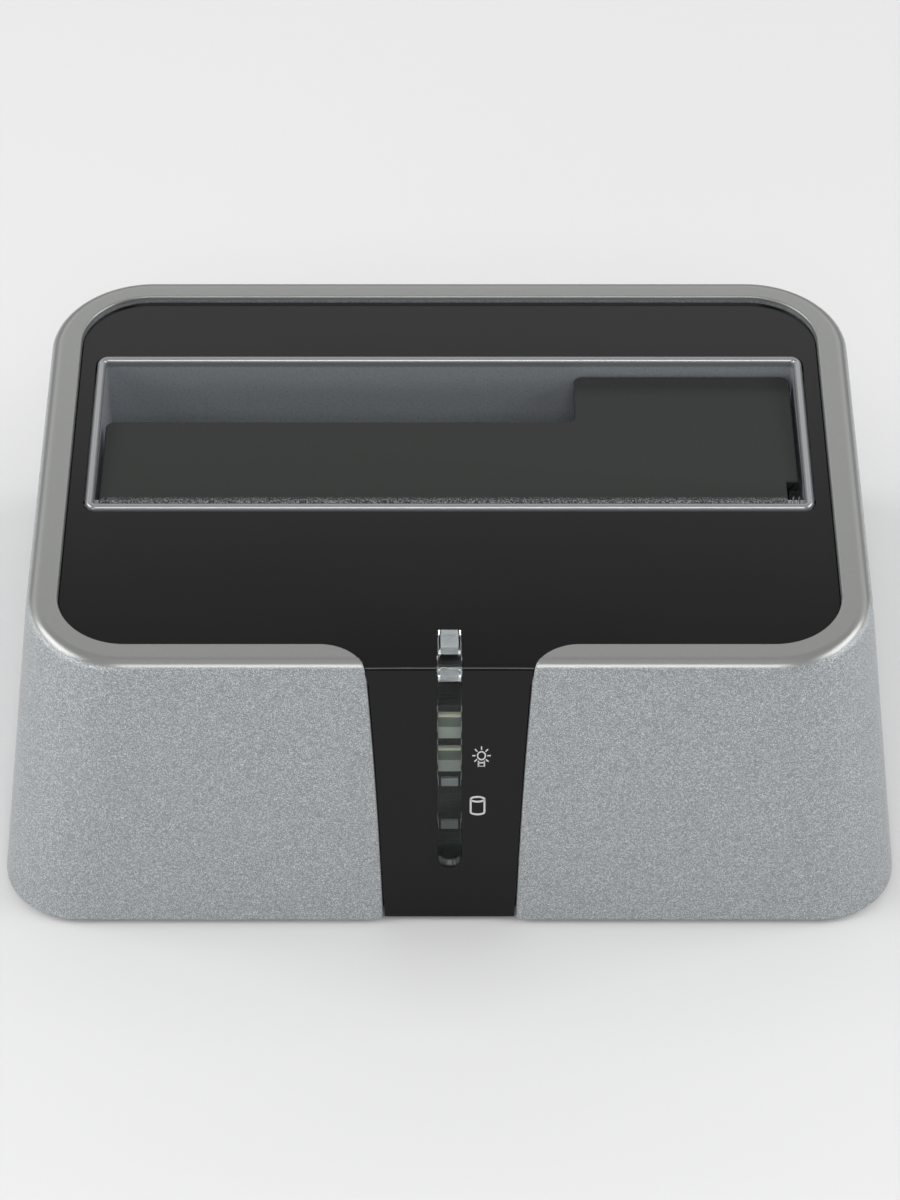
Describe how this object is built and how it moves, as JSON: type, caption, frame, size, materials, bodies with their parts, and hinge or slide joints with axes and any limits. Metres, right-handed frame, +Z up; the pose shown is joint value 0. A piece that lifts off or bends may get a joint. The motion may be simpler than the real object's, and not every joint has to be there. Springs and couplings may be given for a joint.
{
  "type": "hard drive docking station",
  "caption": "Desktop dock with a tapered silver housing, black T-shaped fascia, drive slot with a sprung notched flap, wrap-over light guide and rear sockets.",
  "frame": {"origin": "middle of the plane that the rubber feet stand on", "axes": "+X to the right seen from the front, +Y to the rear, +Z up"},
  "size_m": [0.1314, 0.0942, 0.0485],
  "materials": {
    "silver_paint": "ABS with fine metallic silver paint",
    "gloss_black": "polished black ABS",
    "clear_acrylic": "polished clear acrylic",
    "white_foam": "white foam pad",
    "silver_bay": "ABS with fine metallic silver paint",
    "flap_grey": "satin dark-grey ABS",
    "steel": "drawn steel",
    "spring_steel": "spring wire",
    "board_green": "glass-fibre board with green solder mask",
    "led_body": "lamp package, off",
    "resistor_ceramic": "chip resistor, glazed",
    "black_nylon": "moulded nylon",
    "contact_gold": "gold-plated contact",
    "plated_shell": "nickel or tin plate",
    "white_nylon": "moulded nylon",
    "rocker_black": "moulded nylon",
    "chip_epoxy": "moulded epoxy",
    "ferrite": "shielded ferrite",
    "can_aluminium": "drawn can",
    "base_black": "fine-textured black ABS",
    "foot_rubber": "matt rubber",
    "screw_black": "blackened steel"
  },
  "bodies": {
    "dock": {"housing": "silver_paint", "fascia": "gloss_black", "light_guide": "clear_acrylic", "guide_pad": "white_foam", "drive_bay": "silver_bay", "flap_pin": "steel", "flap_spring": "spring_steel", "led_board": "board_green", "power_led": "led_body", "activity_led": "led_body", "lamp_resistors": "resistor_ceramic", "led_header": "black_nylon", "header_pins": "contact_gold", "main_board": "board_green", "sata_socket": "black_nylon", "sata_contacts": "contact_gold", "usb_shell": "plated_shell", "usb_tongue": "white_nylon", "usb_contacts": "contact_gold", "dc_jack_body": "black_nylon", "dc_jack_pin": "plated_shell", "switch_body": "black_nylon", "switch_terminals": "plated_shell", "bridge_chip": "chip_epoxy", "bridge_leads": "plated_shell", "flash_chip": "chip_epoxy", "crystal": "plated_shell", "inductor": "ferrite", "capacitors": "can_aluminium", "regulator_chip": "chip_epoxy", "base_plate": "base_black", "rubber_feet": "foot_rubber", "case_screws": "screw_black", "bay_screws": "steel", "board_screws": "steel"},
    "flap": {"drive_flap": "flap_grey"},
    "rocker": {"switch_rocker": "rocker_black"}
  },
  "joints": [
    {"name": "flap_hinge", "type": "hinge", "parent": "dock", "child": "flap", "pos_m": [0, -0.0054, 0.04515], "axis": [-1, 0, 0], "range_deg": [0, 86], "stiffness_Nm_per_rad": 0.002, "springref_deg": -85.94, "deforming": ["flap_spring"]},
    {"name": "rocker_turn", "type": "hinge", "parent": "dock", "child": "rocker", "pos_m": [-0.027, 0.0426, 0.0151], "axis": [0, 0, -1], "range_deg": [0, 22]}
  ]
}
